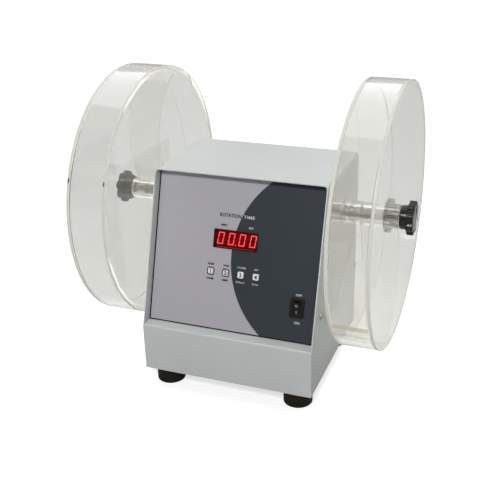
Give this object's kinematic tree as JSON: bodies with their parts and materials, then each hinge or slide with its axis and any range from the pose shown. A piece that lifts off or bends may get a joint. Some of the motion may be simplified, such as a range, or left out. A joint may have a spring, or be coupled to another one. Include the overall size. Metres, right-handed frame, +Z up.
{
  "type": "tablet friability tester",
  "caption": "Bench drive cabinet with a sloping keypad panel that turns two clear scoop drums on one axle, each closed by a removable cover and a lobed clamp knob.",
  "frame": {"origin": "on the ground under the middle of the axle", "axes": "+X along the axle to the right drum, -Y out of the front panel, +Z up"},
  "size_m": [0.3634, 0.297, 0.3445],
  "materials": {
    "powder_coat": "fine-textured light grey powder coat on folded sheet steel",
    "zinc_steel": "zinc-plated steel",
    "ground_steel": "ground steel",
    "printed_overlay": "matt printed polyester overlay in two greys",
    "clear_acrylic": "clear cast acrylic with polished edges",
    "black_plastic": "moulded black plastic",
    "black_rubber": "moulded black rubber",
    "white_plastic": "moulded white plastic",
    "red_window": "red tinted window",
    "circuit_board": "green solder-masked board",
    "cast_alloy": "die-cast alloy",
    "painted_motor": "grey painted motor can",
    "laminated_core": "varnished laminations with a wound coil"
  },
  "bodies": {
    "cabinet": {"cabinet_shell": "powder_coat", "base_tray": "zinc_steel", "front_fascia": "powder_coat", "panel_overlay": "printed_overlay", "rear_panel": "powder_coat", "display_bezel": "black_plastic", "display_window": "red_window", "display_module": "black_plastic", "keypad_board": "circuit_board", "rocker_frame": "black_plastic", "power_inlet": "black_plastic", "transformer": "laminated_core", "power_board": "circuit_board", "motor": "painted_motor", "gearbox": "cast_alloy", "motor_bracket": "zinc_steel", "bearing_housing_left": "zinc_steel", "bearing_housing_right": "zinc_steel", "bearing_left": "ground_steel", "bearing_right": "ground_steel", "rotation_sensor": "black_plastic", "front_left_foot": "black_rubber", "front_right_foot": "black_rubber", "rear_left_foot": "black_rubber", "rear_right_foot": "black_rubber", "front_left_foot_screw": "zinc_steel", "front_right_foot_screw": "zinc_steel", "rear_left_foot_screw": "zinc_steel", "rear_right_foot_screw": "zinc_steel", "left_front_cabinet_screw": "zinc_steel", "left_rear_cabinet_screw": "zinc_steel", "right_front_cabinet_screw": "zinc_steel", "right_rear_cabinet_screw": "zinc_steel"},
    "axle": {"axle": "ground_steel", "drive_gear": "zinc_steel", "sensor_disc": "black_plastic", "left_back_disc": "clear_acrylic", "left_drum_ring": "clear_acrylic", "left_scoop": "clear_acrylic", "left_hub_tube": "clear_acrylic", "left_hub_screw": "ground_steel", "right_back_disc": "clear_acrylic", "right_drum_ring": "clear_acrylic", "right_scoop": "clear_acrylic", "right_hub_tube": "clear_acrylic", "right_hub_screw": "ground_steel"},
    "motor_shaft": {"motor_pinion": "ground_steel"},
    "left_cover": {"left_cover_disc": "clear_acrylic"},
    "left_clamp_knob": {"left_knob": "black_plastic", "left_knob_cap": "black_plastic", "left_clamp_stud": "ground_steel"},
    "right_cover": {"right_cover_disc": "clear_acrylic"},
    "right_clamp_knob": {"right_knob": "black_plastic", "right_knob_cap": "black_plastic", "right_clamp_stud": "ground_steel"},
    "key_1_body": {"key_1": "white_plastic"},
    "key_2_body": {"key_2": "white_plastic"},
    "key_3_body": {"key_3": "white_plastic"},
    "key_4_body": {"key_4": "white_plastic"},
    "rocker_body": {"rocker": "black_plastic"}
  },
  "joints": [
    {"name": "axle_spin", "type": "hinge", "parent": "cabinet", "child": "axle", "pos_m": [0, 0, 0.196], "axis": [1, 0, 0], "continuous": true},
    {"name": "motor_spin", "type": "hinge", "parent": "cabinet", "child": "motor_shaft", "pos_m": [0, 0, 0.154], "axis": [1, 0, 0], "continuous": true},
    {"name": "left_cover_off", "type": "slide", "parent": "axle", "child": "left_cover", "axis": [-1, 0, 0], "range_m": [0, 0.06]},
    {"name": "left_knob_turn", "type": "hinge", "parent": "left_cover", "child": "left_clamp_knob", "pos_m": [-0.175, 0, 0.196], "axis": [-1, 0, 0], "continuous": true},
    {"name": "right_cover_off", "type": "slide", "parent": "axle", "child": "right_cover", "axis": [1, 0, 0], "range_m": [0, 0.06]},
    {"name": "right_knob_turn", "type": "hinge", "parent": "right_cover", "child": "right_clamp_knob", "pos_m": [0.175, 0, 0.196], "axis": [1, 0, 0], "continuous": true},
    {"name": "key_1_press", "type": "slide", "parent": "cabinet", "child": "key_1_body", "axis": [0, 0.9495, -0.3137], "range_m": [0, 0.0004], "stiffness_N_per_m": 3000},
    {"name": "key_2_press", "type": "slide", "parent": "cabinet", "child": "key_2_body", "axis": [0, 0.9495, -0.3137], "range_m": [0, 0.0004], "stiffness_N_per_m": 3000},
    {"name": "key_3_press", "type": "slide", "parent": "cabinet", "child": "key_3_body", "axis": [0, 0.9495, -0.3137], "range_m": [0, 0.0004], "stiffness_N_per_m": 3000},
    {"name": "key_4_press", "type": "slide", "parent": "cabinet", "child": "key_4_body", "axis": [0, 0.9495, -0.3137], "range_m": [0, 0.0004], "stiffness_N_per_m": 3000},
    {"name": "rocker_tip", "type": "hinge", "parent": "cabinet", "child": "rocker_body", "pos_m": [0.0758, -0.09301, 0.11474], "axis": [-1, 0, 0], "range_deg": [0, 18]}
  ],
  "couplings": [
    {"joint": "motor_spin", "follows": "axle_spin", "ratio": -3}
  ]
}
